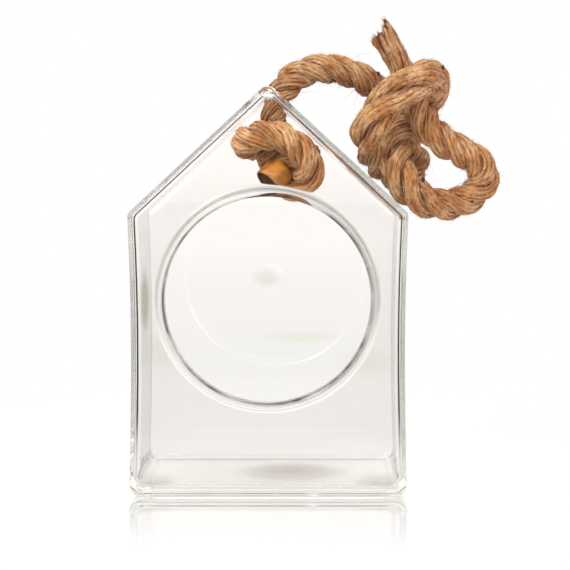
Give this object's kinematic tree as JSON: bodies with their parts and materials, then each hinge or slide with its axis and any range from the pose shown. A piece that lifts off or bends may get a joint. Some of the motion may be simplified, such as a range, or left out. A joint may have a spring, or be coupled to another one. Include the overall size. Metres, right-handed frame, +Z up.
{
  "type": "propagation vase",
  "caption": "Clear glass house-shaped vase with a round front mouth, hung by a knotted thick rope through its roof ridge.",
  "frame": {"origin": "centre of the flat base", "axes": "+X right seen from the front, -Y out of the round mouth, +Z up"},
  "size_m": [0.1889, 0.085, 0.2384],
  "materials": {
    "clear_glass": "hand-blown, fire-polished clear glass",
    "jute_rope": "natural three-strand jute rope",
    "end_binding": "amber-brown tape bound round the cut rope end"
  },
  "bodies": {
    "vase": {"glass_house": "clear_glass"},
    "rope": {"rope_neck": "jute_rope", "rope_arch": "jute_rope", "rope_knot_collar": "jute_rope", "rope_hanging_loop": "jute_rope", "rope_tail": "jute_rope", "rope_stopper_knot": "jute_rope", "rope_end_binding": "end_binding"}
  },
  "joints": [
    {"name": "rope_lift", "type": "slide", "parent": "vase", "child": "rope", "axis": [0, 0, 1], "range_m": [0, 0.002]}
  ]
}
